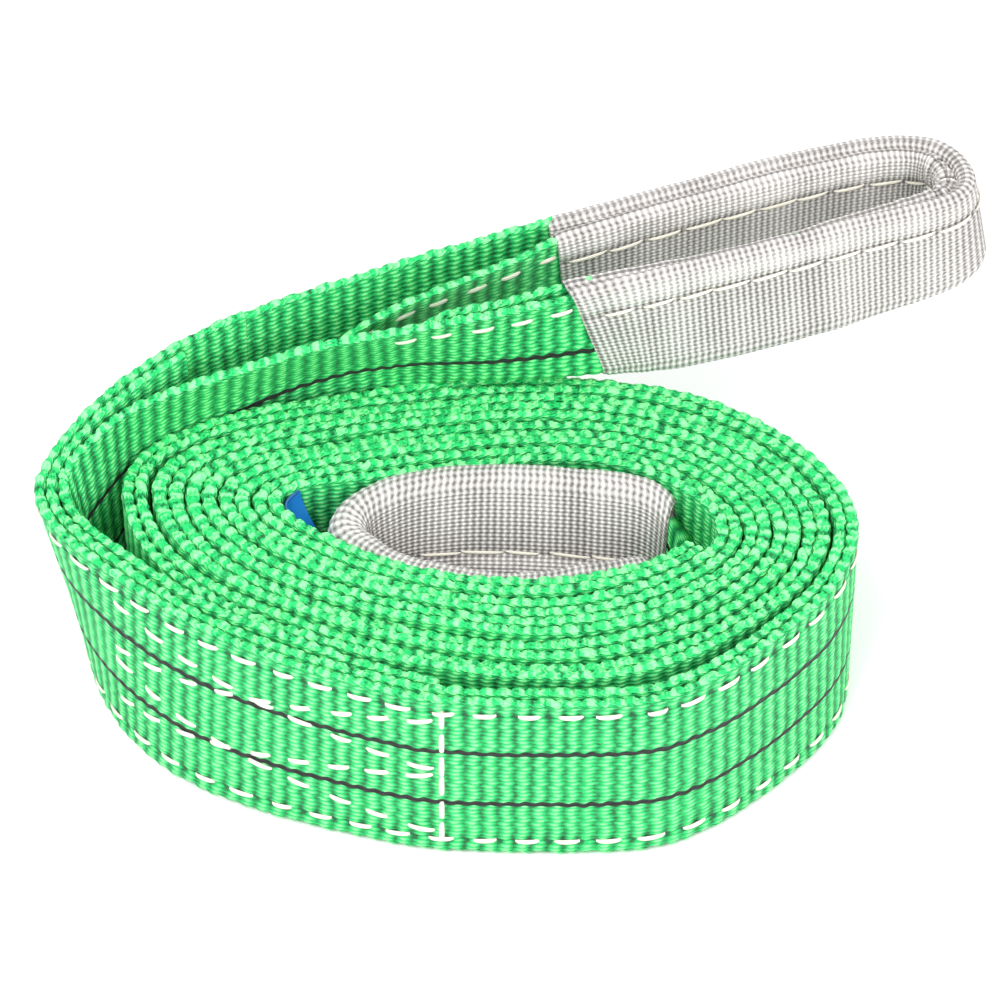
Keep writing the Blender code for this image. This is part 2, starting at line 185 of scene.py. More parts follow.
def coil(offset, first=FIRST_TURN, last=LAST_TURN, count=1600):
    """Rows of an upright ply of the coil, whose outer wraps stand lower at the front."""
    turns = np.linspace(first, last, count)
    pitch = (OUTER_RING - INNER_RING) / TURNS_BETWEEN[:, None]
    base = INNER_RING - np.arange(8)[:, None] / 8 * pitch
    plan = periodic(base, turns) + turns[:, None] * periodic(pitch, turns)
    out = left_normal(plan)
    room = np.abs((periodic(pitch, turns) * out).sum(axis=1)) / (2 * STEP + 0.25)
    swell = 1 + (np.clip(room, 1, 1.42) - 1) * (1 - 0.75 * step((turns - 4.1) / 0.4))
    plan = plan + out * (offset * swell + BULGE * step((turns - 5.0) / 0.25))[:, None]
    front = step((-out[:, 1] - 0.1) / 0.7)
    top = 59.8 - 3.8 * front * step((turns - 1.6) / 3.2) + 0.35 * np.sin(turns * 9.1 + offset)
    rows = np.zeros((count, 10))
    rows[:, :2], rows[:, 2], rows[:, 4], rows[:, 5] = plan, top, NO_FOLD, STEP
    rows[:, 3] = -3.5 * front * step((turns - 4.3) / 0.6)
    rows[:, 8], rows[:, 9] = top / 60.2, swell
    return rows


def shifted(rows, offset):
    moved = rows.copy()
    moved[:, :2] += left_normal(rows[:, :2]) * offset
    return moved


def wander(x, period, seed, octaves=2):
    """A smooth random value along a length."""
    local = np.random.default_rng(seed)
    total = np.zeros_like(x)
    for octave in range(octaves):
        gap = period / 2 ** octave
        knots = local.normal(size=int(np.ptp(x) / gap) + 8)
        at = (x - x.min()) / gap
        base = np.floor(at).astype(int)
        t = step(at - base)
        total += (knots[base] * (1 - t) + knots[base + 1] * t) / 2 ** octave
    return total


class Strap:
    """A route at an even spacing, with the direction across the strap and the way its face looks."""

    def __init__(self, rows, spacing, sense=1, round_off=21):
        kernel = np.hanning(round_off + 2)[1:-1]
        kernel /= kernel.sum()
        half = round_off // 2
        ends = [2 * rows[0] - rows[half:0:-1], rows, 2 * rows[-1] - rows[-2:-half - 2:-1]]
        line = np.concatenate(ends)
        rows = np.column_stack([np.convolve(line[:, k], kernel, "valid") for k in range(rows.shape[1])])
        length = np.concatenate([[0], np.cumsum(np.linalg.norm(np.diff(rows[:, :3], axis=0), axis=1))])
        self.at = np.linspace(0, length[-1], int(round(length[-1] / spacing)) + 1)
        self.rows = np.column_stack([np.interp(self.at, length, rows[:, k]) for k in range(rows.shape[1])])
        run = unit(np.gradient(self.rows[:, :3], axis=0))
        side = unit(np.column_stack([-run[:, 1], run[:, 0], np.zeros(len(run))]))
        drop = np.array([0.0, 0.0, -1.0])
        lean = np.radians(self.rows[:, 3])[:, None]
        self.across = sense * (np.cos(lean) * drop - np.sin(lean) * side)
        self.face = np.cos(lean) * side + np.sin(lean) * drop
        self.length = length[-1]

    def cut(self, first, last):
        part = object.__new__(Strap)
        for name in ("at", "rows", "across", "face"):
            setattr(part, name, getattr(self, name)[first:last + 1])
        part.length = part.at[-1] - part.at[0]
        return part

    def nearest(self, x, y, after=0.0):
        off = np.hypot(self.rows[:, 0] - x, self.rows[:, 1] - y) + 1e4 * (self.at < after)
        return int(np.argmin(off))

    def sampled(self, at):
        part = object.__new__(Strap)
        part.at = np.asarray(at, float)
        for name in ("rows", "across", "face"):
            whole = getattr(self, name)
            setattr(part, name, np.column_stack([np.interp(at, self.at, column) for column in whole.T]))
        return part

    def place(self, v, height):
        """Points v mm across from the first selvedge, and height mm over the middle surface."""
        z, lean, fold, arm, splay, plumb, squeeze, swell = (self.rows[:, k][:, None] for k in range(2, 10))
        height = height * swell
        radius = arm / 2
        start = fold - np.pi * radius / 2
        turned = np.clip((v - start) / radius, 0, np.pi)
        flap = np.maximum(v - start - np.pi * radius, 0)
        out = np.minimum(v, start) + radius * np.sin(turned) - flap + height * np.sin(turned)
        out = out * squeeze
        aside = height * np.cos(turned) - (radius * (1 - np.cos(turned)) + splay * flap)
        under = (out - (z - HANG_FROM)) / HANG_SOFT
        soft = HANG_SOFT * np.where(under > 20, under, np.log1p(np.exp(np.minimum(under, 20))))
        aside = aside + plumb * np.tan(np.radians(lean)) * soft
        points = self.rows[:, None, :3]
        return points + self.across[:, None] * out[..., None] + self.face[:, None] * aside[..., None]


def stadium(radius, face_points, back_points, edge_points=9, low=0.0, high=WIDTH):
    """A flat section with round edges: v and height of each point, its normal in both, and which edge it's on."""
    ends = np.linspace(-np.pi / 2, np.pi / 2, edge_points)[1:-1]
    v = np.concatenate([face_points, high - radius + radius * np.cos(ends[::-1]), back_points[::-1],
                        low + radius - radius * np.cos(ends)])
    blank = np.zeros_like
    height = np.concatenate([blank(face_points) + radius, radius * np.sin(ends[::-1]),
                             blank(back_points) - radius, radius * np.sin(ends)])
    nv = np.concatenate([blank(face_points), np.cos(ends), blank(back_points), -np.cos(ends)])
    side = np.concatenate([blank(face_points), blank(ends) + 1, blank(back_points), blank(ends) - 1])
    return v, height, nv, height / radius, side


def linked(name, mesh):
    made = bpy.data.objects.new(name, mesh)
    bpy.context.scene.collection.objects.link(made)
    return made


def mesh_of(name, grids, uvs, relief_shade, material):
    """A closed mesh from one looped grid, or from an outer grid and an inner one joined at both rims."""
    verts, faces, uv_faces, loops = [], [], [], []
    for number, (grid, uv) in enumerate(zip(grids, uvs)):
        n, m = grid.shape[:2]
        ids = sum(loop.size for loop in loops) + np.arange(n * m).reshape(n, m)
        beside = np.roll(ids, -1, axis=1)
        quads = np.stack([ids[:-1], ids[1:], beside[1:], beside[:-1]], axis=-1).reshape(-1, 4)
        wrapped = np.concatenate([uv, uv[:, :1]], axis=1)
        corner = np.stack([wrapped[:-1, :-1], wrapped[1:, :-1], wrapped[1:, 1:], wrapped[:-1, 1:]], axis=2)
        corner = corner.reshape(-1, 4, 2)
        if number:
            quads, corner = quads[:, ::-1], corner[:, ::-1]
        verts.append(grid.reshape(-1, 3))
        faces.append(quads)
        uv_faces.append(corner)
        loops.append(ids)
    if len(loops) == 2:
        (outer, inner), (outer_next, inner_next) = loops, [np.roll(ids, -1, axis=1) for ids in loops]
        faces.append(np.stack([outer_next[0], inner_next[0], inner[0], outer[0]], axis=-1))
        faces.append(np.stack([outer[-1], inner[-1], inner_next[-1], outer_next[-1]], axis=-1))
        uv_faces += [np.stack([uvs[0][0]] * 4, axis=1)] * 2
        caps = []
    else:
        caps = [ids[0][::-1], ids[-1]]
    verts = np.concatenate(verts)
    faces = np.concatenate(faces)
    uv_faces = np.concatenate(uv_faces)
    a, b, c, d = (verts[faces[:, k]] for k in range(4))
    if (a * (np.cross(b, c) + np.cross(c, d))).sum() < 0:  # inside out
        faces, uv_faces = faces[:, ::-1], uv_faces[:, ::-1]
        caps = [cap[::-1] for cap in caps]
    mesh = bpy.data.meshes.new(name)
    mesh.vertices.add(len(verts))
    mesh.vertices.foreach_set("co", ((verts - ORIGIN) * MM).astype(np.float32).ravel())
    corners = np.concatenate([faces.ravel(), *caps]).astype(np.int32)
    mesh.loops.add(len(corners))
    mesh.loops.foreach_set("vertex_index", corners)
    sizes = np.array([4] * len(faces) + [len(cap) for cap in caps])
    mesh.polygons.add(len(sizes))
    mesh.polygons.foreach_set("loop_start", (np.cumsum(sizes) - sizes).astype(np.int32))
    flat_uv = np.zeros((len(corners), 2), np.float32)
    flat_uv[:len(faces) * 4] = uv_faces.reshape(-1, 2) * MM
    mesh.uv_layers.new(name="UVMap").data.foreach_set("uv", flat_uv.ravel())
    smooth = np.ones(len(sizes), bool)
    smooth[len(faces):] = False
    mesh.polygons.foreach_set("use_smooth", smooth)
    mesh.update(calc_edges=True)
    # A value per point from the surface's height, which the materials use to paint shade into hollows and
    # highlight onto crests
    layer = mesh.attributes.new("relief_shade", "FLOAT", "POINT")
    filled = np.zeros(len(verts), np.float32)
    filled[:relief_shade.size] = relief_shade.ravel()
    layer.data.foreach_set("value", filled)
    mesh.materials.append(material)
    return linked(name, mesh)


def webbing(name, strap, face_points, back_points, seed, dents=()):
    """A ply of webbing, with raised ribs on its faces and lobes of weft round its selvedges."""
    v, height, nv, nh, side = stadium(PLY / 2, face_points, back_points)
    s = strap.at[:, None]
    edge = np.abs(side)[None]
    angle = np.arcsin(np.clip(nh, -1, 1))[None]
    jitter = 0.16 * wander(strap.at, 9.0, seed)[:, None]
    slant = 0.42 * np.sin(angle) * np.cos(s / 31.0 + seed)
    lobe_at = s / RIB + jitter + slant + np.where(side > 0, 0.5, 0.0)[None]
    number = np.floor(lobe_at)
    size = 1 + 0.5 * np.sin(number * 12.9898 + seed) * np.sin(number * 4.1 + seed * 2)
    within = lobe_at - number
    lobe = np.clip(np.sin(np.pi * within), 0, 1) ** 0.6
    strands = np.cos(2 * np.pi * (2.3 * within + 0.8 * np.sin(angle + 1.3 * np.sin(number * 5.3 + seed))))
    hollow = np.exp(-((within - 0.5) / 0.15) ** 2) * np.exp(-((angle - 0.3 * np.sin(number * 3.1)) / 0.45) ** 2)
    open_lobe = np.sin(number * 7.7 + seed * 3) > -0.1
    edge_lift = (1.05 * lobe * size - 0.60) + 0.17 * strands - 0.75 * hollow * open_lobe
    row = np.round(v / ROW)[None]
    crest = np.cos(2 * np.pi * (s / RIB + jitter * 0.5 + 0.10 * np.sin(row * 1.9)))
    near = np.minimum(v, WIDTH - v)[None]
    fade = np.clip(1 - near / 4.5, 0, 1) ** 1.5
    face_lift = 0.17 * crest + fade * (0.35 * lobe * size - 0.2)
    for where, start, end in dents:
        inside = (s > start) & (s < end)
        face_lift = face_lift - 0.35 * np.exp(-((v[None] - where) / 0.9) ** 2) * inside * (nh[None] > 0.9)
    outward = np.abs(nv)[None]
    lift = np.where(edge > 0, edge_lift * outward ** 0.7 + 0.25 * (lobe - 0.6) * (1 - outward), face_lift)
    level = 0.35 * wander(strap.at, 26.0, seed + 3)[:, None]
    across = v[None] + nv[None] * lift + level * np.clip(1 - v[None] / 12, 0, 1)
    over = height[None] + nh[None] * np.where(edge > 0, np.minimum(lift, 0.35), lift)
    round_edge = np.where(edge > 0, nv[None] * 0.9 * np.abs(angle), 0)
    uv = np.stack([s + 0 * across, v[None] + 0 * across + round_edge], axis=-1)
    # Painted shade: low lobes, hollows, rib troughs and seam dents get a darker value, high ones a lighter value
    # as painted highlight
    relief_shade = np.where(edge > 0, 0.5 + 0.75 * lift, 0.5 + 1.6 * face_lift)
    return mesh_of(name, [strap.place(across, over)], [uv], relief_shade, GREEN)


def bell(x, spread):
    return np.exp(-(x / spread) ** 2)


def jacket(name, strap, seed, crumple=None, slants=(0.0, 0.0)):
    """A sleeve of thin ribbed cloth round a folded strap, open at both ends.

    crumple is the middle, spread and depth of the wrinkles at a bend. slants lean the two ends.
    """
    radius = PLY / 2 + FIT + WALL
    grids, uvs = [], []
    faces = np.linspace(0.6, WIDTH - 0.6, 62)
    for inner in (False, True):
        r = radius - WALL if inner else radius
        lip = r - PLY / 2
        v, height, nv, nh, side = stadium(r, faces, faces, 9, -lip, WIDTH + lip)
        part = strap.sampled(np.linspace(strap.at[0], strap.at[-1], 80)) if inner else strap
        s = part.at[:, None]
        lift = np.zeros((len(part.at), len(v)))
        from_edge = np.minimum(v, WIDTH - v)
        if not inner:
            soft = wander(part.at, 7.0, seed)[:, None] * 0.10
            lift = 0.11 * np.cos(2 * np.pi * s / SLEEVE_RIB) * (1 - 0.5 * (side != 0))[None] + soft
            puff = 0.45 * (bell(v - SLEEVE_SEAM / 2, 3.0) + bell(WIDTH - v - SLEEVE_SEAM / 2, 3.0))
            lift = lift + puff[None] * (1 + 0.4 * wander(part.at, 12.0, seed + 1)[:, None])
            for line in (SLEEVE_SEAM, WIDTH - SLEEVE_SEAM):
                lift = lift - 0.55 * bell(v - line, 0.9)[None]
            if crumple is not None:
                middle, spread, depth = crumple
                wrinkle = (np.cos(2 * np.pi * (s / 4.6 + 0.06 * v[None]))
                           + 0.6 * np.cos(2 * np.pi * s / 7.3 + 0.2 * v[None]))
                lift = lift + depth * bell(s - middle, spread) * wrinkle * step((v - 26) / 12)[None]
            lift = lift - 0.35 * bell(np.minimum(s - part.at[0], part.at[-1] - s), 0.9)
            # Painted shade: seam grooves, wrinkle troughs and the open ends get a darker value, the puffs a
            # lighter value as painted highlight
            relief_shade = 0.5 + 1.4 * lift
        points = part.place(v[None] + nv[None] * lift, height[None] + nh[None] * lift)
        run = unit(np.gradient(part.rows[:, :3], axis=0))
        ends = slants[0] * bell(s - s[0], 14.0) + slants[1] * bell(s[-1] - s, 14.0)
        slide = ends * (from_edge[None] / 30.0 - 0.5)
        points = points + run[:, None] * slide[..., None]
        grids.append(points)
        loop = np.where(nh < 0, -6.0 - v, v)
        uvs.append(np.stack([s + 0 * lift, loop[None] + 0 * lift], axis=-1))
    return mesh_of(name, grids, uvs, relief_shade, GREY)


def dashes(name, runs):
    """Machine stitches: short threads lying on a face.

    A run is a strap, its two ends in (s, v), its height, and a stitch's length, gap and width.
    """
    verts, faces, uvs = [], [], []
    sides, samples = 8, 9
    ring = np.linspace(0, 2 * np.pi, sides, endpoint=False)
    count = 0
    for strap, (s0, v0), (s1, v1), height, length, gap, width in runs:
        total = math.hypot(s1 - s0, v1 - v0)
        number = max(1, int(round((total + gap) / (length + gap))))
        pitch = (total + gap) / number
        local = np.random.default_rng(int(abs(s0 * 7 + v0 * 13 + s1)) + 3)
        for index in range(number):
            wobble, slant, short = local.normal(size=3)
            a = (index * pitch + 0.25 * wobble) / total
            b = a + (pitch - gap) * (1 + 0.07 * short) / total
            t = np.linspace(0, 1, samples)
            along = a + (b - a) * t
            s = s0 + (s1 - s0) * along
            off = (0.16 * slant + 0.35) * (t - 0.5)
            v = v0 + (v1 - v0) * along + off * abs(s1 - s0) / total
            part = strap.sampled(s)
            arc = np.sin(np.pi * np.clip(t, 0, 1)) ** 0.45
            lift = height - 0.35 + 0.62 * arc
            left = part.place(v[:, None] - 0.5, lift[:, None])[:, 0]
            right = part.place(v[:, None] + 0.5, lift[:, None])[:, 0]
            high = part.place(v[:, None], lift[:, None] + 0.5)[:, 0]
            middle = (left + right) / 2
            run = unit(np.gradient(middle, axis=0))
            up = unit(high - middle)
            aside = unit(np.cross(run, up))
            wide = width / 2 * (0.55 + 0.45 * arc)[:, None]
            grid = (middle[:, None] + aside[:, None] * (np.cos(ring)[None, :, None] * wide[..., None])
                    + up[:, None] * (np.sin(ring)[None, :, None] * 0.36 * (0.5 + 0.5 * arc)[:, None, None]))
            ids = count + np.arange(samples * sides).reshape(samples, sides)
            beside = np.roll(ids, -1, axis=1)
            quads = np.stack([ids[:-1], beside[:-1], beside[1:], ids[1:]], axis=-1).reshape(-1, 4)
            faces.extend(quads.tolist())
            faces.append(ids[0].tolist())
            faces.append(ids[-1][::-1].tolist())
            verts.append(grid.reshape(-1, 3))
            uvs.append(np.stack([np.repeat(along * total, sides), np.tile(ring * width / 2, samples)], axis=-1))
            count += samples * sides
    verts = (np.concatenate(verts) - ORIGIN) * MM
    uvs = np.concatenate(uvs) * MM
    mesh = bpy.data.meshes.new(name)
    mesh.from_pydata(verts.tolist(), [], faces)
    layer = mesh.uv_layers.new(name="UVMap")
    order = np.zeros(len(mesh.loops), np.int32)
    mesh.loops.foreach_get("vertex_index", order)
    layer.data.foreach_set("uv", uvs[order].astype(np.float32).ravel())
    mesh.polygons.foreach_set("use_smooth", np.ones(len(mesh.polygons), bool))
    mesh.materials.append(THREAD)
    return linked(name, mesh)


class Nodes:
    """Short calls for building a material's nodes."""

    def __init__(self, name):
        self.material = bpy.data.materials.new(name)
        self.material.use_nodes = True
        self.tree = self.material.node_tree
        self.shader = self.tree.nodes["Principled BSDF"]
        uv = self.tree.nodes.new("ShaderNodeUVMap")
        uv.uv_map = "UVMap"
        self.vector = uv.outputs[0]
        split = self.tree.nodes.new("ShaderNodeSeparateXYZ")
        self.tree.links.new(self.vector, split.inputs[0])
        self.u = self.math("MULTIPLY", split.outputs[0], 1000.0)
        self.v = self.math("MULTIPLY", split.outputs[1], 1000.0)

    def set(self, socket, value):
        if isinstance(value, bpy.types.NodeSocket):
            self.tree.links.new(value, socket)
        else:
            socket.default_value = value

    def math(self, operation, a, b=0.0, c=0.0):
        node = self.tree.nodes.new("ShaderNodeMath")
        node.operation = operation
        for socket, value in zip(node.inputs, (a, b, c)):
            self.set(socket, value)
        return node.outputs[0]

    def total(self, *terms):
        result = terms[0]
        for term in terms[1:]:
            result = self.math("ADD", result, term)
        return result

    def scaled(self, a, by, plus=0.0):
        return self.math("MULTIPLY_ADD", a, by, plus)

    def wave(self, x, period, phase=0.0):
        return self.math("COSINE", self.math("ADD", self.scaled(x, 2 * math.pi / period), phase))

    def mix(self, factor, a, b):
        node = self.tree.nodes.new("ShaderNodeMix")
        node.data_type = "RGBA"
        self.set(node.inputs[0], factor)
        for socket, value in ((node.inputs[6], a), (node.inputs[7], b)):
            self.set(socket, value if isinstance(value, bpy.types.NodeSocket) else (*value, 1.0))
        return node.outputs[2]

    def noise(self, scale, detail=2.0, rough=0.5, stretch=(1.0, 1.0)):
        shift = self.tree.nodes.new("ShaderNodeMapping")
        shift.inputs["Scale"].default_value = (*stretch, 1.0)
        self.tree.links.new(self.vector, shift.inputs["Vector"])
        node = self.tree.nodes.new("ShaderNodeTexNoise")
        for socket, value in (("Scale", scale), ("Detail", detail), ("Roughness", rough)):
            node.inputs[socket].default_value = value
        self.tree.links.new(shift.outputs[0], node.inputs["Vector"])
        return node.outputs["Fac"]

    def ramp(self, x, low, high):
        node = self.tree.nodes.new("ShaderNodeMapRange")
        node.interpolation_type = "SMOOTHSTEP"
        self.set(node.inputs[0], x)
        node.inputs[1].default_value = low
        node.inputs[2].default_value = high
        return node.outputs[0]

    def attribute(self, name):
        node = self.tree.nodes.new("ShaderNodeAttribute")
        node.attribute_name = name
        return node.outputs["Fac"]

    def finish(self, colour, rough, height, strength, distance, **sockets):
        self.tree.links.new(colour, self.shader.inputs["Base Color"])
        self.set(self.shader.inputs["Roughness"], rough)
        bump = self.tree.nodes.new("ShaderNodeBump")
        bump.inputs["Strength"].default_value = strength
        bump.inputs["Distance"].default_value = distance
        self.tree.links.new(height, bump.inputs["Height"])
        self.tree.links.new(bump.outputs[0], self.shader.inputs["Normal"])
        for socket, value in sockets.items():
            self.shader.inputs[socket.replace("_", " ")].default_value = value
        return self.material


def green_material():
    m = Nodes("green_polyester")
    row = m.math("ROUND", m.math("DIVIDE", m.v, ROW))
    stagger = m.total(m.scaled(m.math("SINE", m.scaled(row, 1.9)), 0.45),
                      m.scaled(m.math("PINGPONG", row, 1.0), 0.4))
    rib = m.wave(m.u, RIB, stagger)
    warp = m.wave(m.v, ROW)
    fibre = m.noise(900.0, 3.0, 0.65, (1.0, 5.0))
    blotch = m.noise(70.0, 3.0, 0.6)
    # Painted shade and highlight by the mesh's heights
    relief_shade = m.attribute("relief_shade")
    dash = m.math("MULTIPLY", warp, m.scaled(rib, 0.3, 0.5))
    edge = m.ramp(m.math("ABSOLUTE", m.scaled(m.v, 1.0, -WIDTH / 2)), 27.8, 29.4)
    slits = m.wave(m.total(m.v, m.scaled(m.u, 0.32), m.scaled(m.noise(420.0), 1.5)), 0.85)
    slits = m.math("MULTIPLY", slits, edge)
    # Woven ribs, rows, fibres, edge slits and random blotches, plus painted shade and painted highlight
    weave_and_shade = m.total(m.scaled(rib, 0.50), m.scaled(dash, 0.75), m.scaled(fibre, 2.4, -1.2), m.scaled(slits, 0.45),
                    m.scaled(blotch, 0.9, -0.45), m.scaled(relief_shade, 1.3, -0.65))
    # Painted shade: low values go to near-black green in grooves and hollows; painted highlight: high values go
    # to pale green on crests
    colour = m.mix(m.ramp(weave_and_shade, -1.2, -0.1), (0.0, 0.10, 0.028), (0.008, 0.60, 0.145))
    colour = m.mix(m.ramp(weave_and_shade, 0.15, 1.1), colour, (0.27, 0.99, 0.36))
    sway = m.total(m.scaled(m.wave(m.u, RIB, 0.6), 0.35), m.scaled(m.noise(60.0), 1.8, -0.9))
    at = m.math("ADD", m.v, sway)
    line = m.math("MINIMUM", *(m.math("ABSOLUTE", m.scaled(at, 1.0, -tracer)) for tracer in TRACERS))
    tracer = m.scaled(m.ramp(line, 0.70, 1.0), -1.0, 1.0)
    colour = m.mix(tracer, colour, (0.006, 0.007, 0.007))
    height = m.total(m.scaled(rib, 0.40), m.scaled(warp, 0.55), m.scaled(fibre, 1.6), m.scaled(slits, 0.7))
    return m.finish(colour, m.scaled(fibre, 0.3, 0.36), height, 0.8, 0.0004,
                    Sheen_Weight=0.04, Sheen_Roughness=0.4, Specular_IOR_Level=0.4)


def grey_material():
    m = Nodes("grey_polyester")
    row = m.math("ROUND", m.math("DIVIDE", m.v, SLEEVE_ROW))
    rib = m.wave(m.u, SLEEVE_RIB, m.scaled(m.math("PINGPONG", row, 1.0), 0.7))
    warp = m.wave(m.v, SLEEVE_ROW)
    fibre = m.noise(1400.0, 2.0, 0.6)
    blotch = m.noise(55.0, 3.0, 0.6)
    # Woven ribs, rows, fibres and random blotches, plus painted shade and highlight by the mesh's heights
    weave_and_shade = m.total(m.scaled(rib, 0.62), m.scaled(warp, 0.30), m.scaled(fibre, 0.8, -0.4),
                    m.scaled(blotch, 0.7, -0.35), m.scaled(m.attribute("relief_shade"), 0.6, -0.3))
    # Painted shade: low values go to dark grey in grooves and hollows; painted highlight: high values go to pale
    # grey on crests
    colour = m.mix(m.ramp(weave_and_shade, -1.0, -0.1), (0.13, 0.12, 0.115), (0.46, 0.435, 0.42))
    colour = m.mix(m.ramp(weave_and_shade, 0.05, 1.0), colour, (0.82, 0.79, 0.765))
    height = m.total(m.scaled(rib, 0.6), m.scaled(warp, 0.5), m.scaled(fibre, 0.3))
    return m.finish(colour, m.scaled(fibre, 0.2, 0.5), height, 0.8, 0.0003,
                    Sheen_Weight=0.15, Sheen_Roughness=0.5)


def thread_material():
    m = Nodes("stitch_thread")
    twist_and_shade = m.wave(m.total(m.u, m.scaled(m.v, 1.2)), 0.8)
    soil = m.noise(300.0)
    # Painted shade in the twist's grooves and painted highlight on its ridges; the soil patches are random dirt
    colour = m.mix(m.ramp(twist_and_shade, -1.0, 0.2), (0.62, 0.56, 0.42), (0.96, 0.93, 0.83))
    colour = m.mix(m.ramp(soil, 0.5, 0.8), colour, (0.74, 0.70, 0.55))
    return m.finish(colour, m.scaled(soil, 0.2, 0.45), twist_and_shade, 0.5, 0.00012, Sheen_Weight=0.15)


def label_material():
    m = Nodes("label_film")
    blotch = m.noise(110.0, 3.0)
    edge = m.math("MINIMUM", m.v, m.scaled(m.v, -1.0, LABEL_WIDTH))
    colour = m.mix(blotch, (0.004, 0.13, 0.46), (0.012, 0.24, 0.68))
    colour = m.mix(m.ramp(edge, 0.5, 1.1), (0.003, 0.08, 0.30), colour)
    return m.finish(colour, m.scaled(blotch, 0.15, 0.22), m.noise(500.0), 0.2, 0.0002, Coat_Weight=0.2)


def floor_material():
    m = Nodes("pale_floor")
    grain = m.noise(6.0, 3.0)
    colour = m.mix(grain, (0.93, 0.93, 0.93), (0.95, 0.95, 0.95))
    return m.finish(colour, m.scaled(grain, 0.1, 0.85), grain, 0.02, 0.001, Specular_IOR_Level=0.1)


GREEN = green_material()
GREY = grey_material()
THREAD = thread_material()
LABEL = label_material()


def show(made, nodes, body=None):
    """Put a piece on its body, or else bake its place into its mesh, and hide the nodes it stands in for."""
    if body:
        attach(made, body)
    else:
        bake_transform(made)
    if nodes:
        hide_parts(*nodes)


# Camera and view transform
camera = linked("camera", bpy.data.cameras.new("camera"))
camera.location = (-0.00495, -0.88775, 0.9595)
camera.rotation_euler = (math.radians(44.0), 0.0, 0.0)
camera.data.lens = 169.4
camera.data.clip_start = 0.05
bpy.context.scene.camera = camera
bpy.context.scene.view_settings.view_transform = "Standard"

# Straps: the outer ply runs on through the eye and back, the inner one ends at the throat
lead_out = spline(LEAD_OUT, 260)
loop = spline(np.vstack([LEAD_OUT[-1:], FAR_LEG, EYE, NEAR_LEG]), 900)[27:]
back_in = shifted(lead_out, -2 * STEP - FIT)[::-1][6:-4]
back_in[:, 3] *= -1
web = Strap(np.vstack([coil(STEP / 2), lead_out, loop, back_in]), SPACING)
inner_leg = shifted(spline(np.vstack([LEAD_OUT, FAR_LEG[:3]]), 340), -STEP)
inner_web = Strap(np.vstack([coil(-STEP / 2), inner_leg]), SPACING)

# Places along the outer ply, each found after a length that the route passes first
coil_end = web.nearest(-11.5, -52.8, 1500)
bend_start = web.nearest(-118.5, 19.0, 1900)
tail_start = web.nearest(-66.0, 60.0, 1900)
near_end = web.nearest(-54.0, 49.6, 2300)
near_bend = web.nearest(-112.0, 18.0, web.at[near_end])
wraps_end = int(np.searchsorted(web.at, web.at[coil_end] - 560))
inner_bend = inner_web.nearest(-114.0, 18.0, 1800)

# Points across a face: where it is seen, where only its top is seen, and where it is hidden
RIM = 1.4
FINE = np.linspace(RIM, WIDTH - RIM, 52)
TOP = np.concatenate([np.linspace(RIM, 14, 12), np.linspace(18, WIDTH - RIM, 10)])
PLAIN = np.concatenate([np.linspace(RIM, 8, 6), np.linspace(14, WIDTH - 8, 5),
                        np.linspace(WIDTH - 6, WIDTH - RIM, 3)])
OUTER_SEED, INNER_SEED, EYE_SEED = 11, 29, 41

# Ends of a blend across the left bend and across the eye's root; no blend is made, and the pieces given these are
# baked in place
coil_to_tail = ("coil", "tail", (-0.1245, -0.0075, 0.04), (-0.1105, 0.0065, 0.04))
tail_to_eye = ("tail", "eye", (-0.0125, 0.03365, 0.077), (0.0025, 0.03365, 0.077))

seams_pressed = [(v, web.at[coil_end] - 360, 1e6) for v in (SEAM, WIDTH - SEAM)]
for name, strap, faces, seed, dents, nodes, where in (
        ("outer_ply_inner_wraps", web.cut(0, wraps_end), (TOP, PLAIN), OUTER_SEED, (), [], "coil"),
        ("outer_ply_last_wrap", web.cut(wraps_end, bend_start), (FINE, TOP), OUTER_SEED, seams_pressed,
         ["outer_ply"], "coil"),
        ("outer_ply_swing", web.cut(bend_start, tail_start), (FINE, TOP), OUTER_SEED, seams_pressed[:1],
         ["outer_ply_tail"], coil_to_tail),
        ("eye_webbing", web.cut(tail_start, near_end), (FINE, FINE), OUTER_SEED, (), ["eye_strap"], tail_to_eye),
        ("near_leg_ply", web.cut(near_end, near_bend), (FINE, TOP), OUTER_SEED, (), ["near_leg_tail"],
         coil_to_tail),
        ("splice_ply_cloth", web.cut(near_bend, len(web.at) - 1), (FINE, TOP), OUTER_SEED, (),
         ["splice_ply"], "coil"),
        ("inner_ply_wraps", inner_web.cut(0, inner_bend), (TOP, FINE), INNER_SEED, (), ["inner_ply"], "coil"),
        ("inner_ply_swing", inner_web.cut(inner_bend, len(inner_web.at) - 1), (TOP, TOP), INNER_SEED, (),
         ["inner_ply_tail"], coil_to_tail)):
    made = webbing(name, strap, *faces, seed, dents)
    if where == "coil":
        show(made, nodes, where)
    else:
        show(made, nodes)

# Sleeves and the inner eye
sleeve_from = web.nearest(17.0, 88.3, web.at[tail_start])
sleeve_to = web.nearest(26.5, 60.6, web.at[sleeve_from] + 120)
cover = web.sampled(np.arange(web.at[sleeve_from], web.at[sleeve_to], SLEEVE_SPACING))
bight = web.at[web.nearest(131.0, 106.8, web.at[tail_start])]
show(jacket("eye_sleeve_cloth", cover, 5, (bight, 16.0, 0.55), (3.0, -9.0)), ["eye_sleeve"],
     "eye")
rows = np.zeros((len(INNER_EYE), 10))
rows[:, :5], rows[:, 5], rows[:, 8:] = INNER_EYE, ARM, 1
inner_eye = Strap(spline(rows, 500), SPACING, sense=-1)
show(webbing("inner_eye_webbing", inner_eye, PLAIN, PLAIN, EYE_SEED), ["inner_eye_strap"],
     "coil")
inner_cover = inner_eye.sampled(np.arange(6.0, inner_eye.length - 13.0, SLEEVE_SPACING))
show(jacket("inner_sleeve_cloth", inner_cover, 8), ["inner_eye_sleeve"],
     "coil")

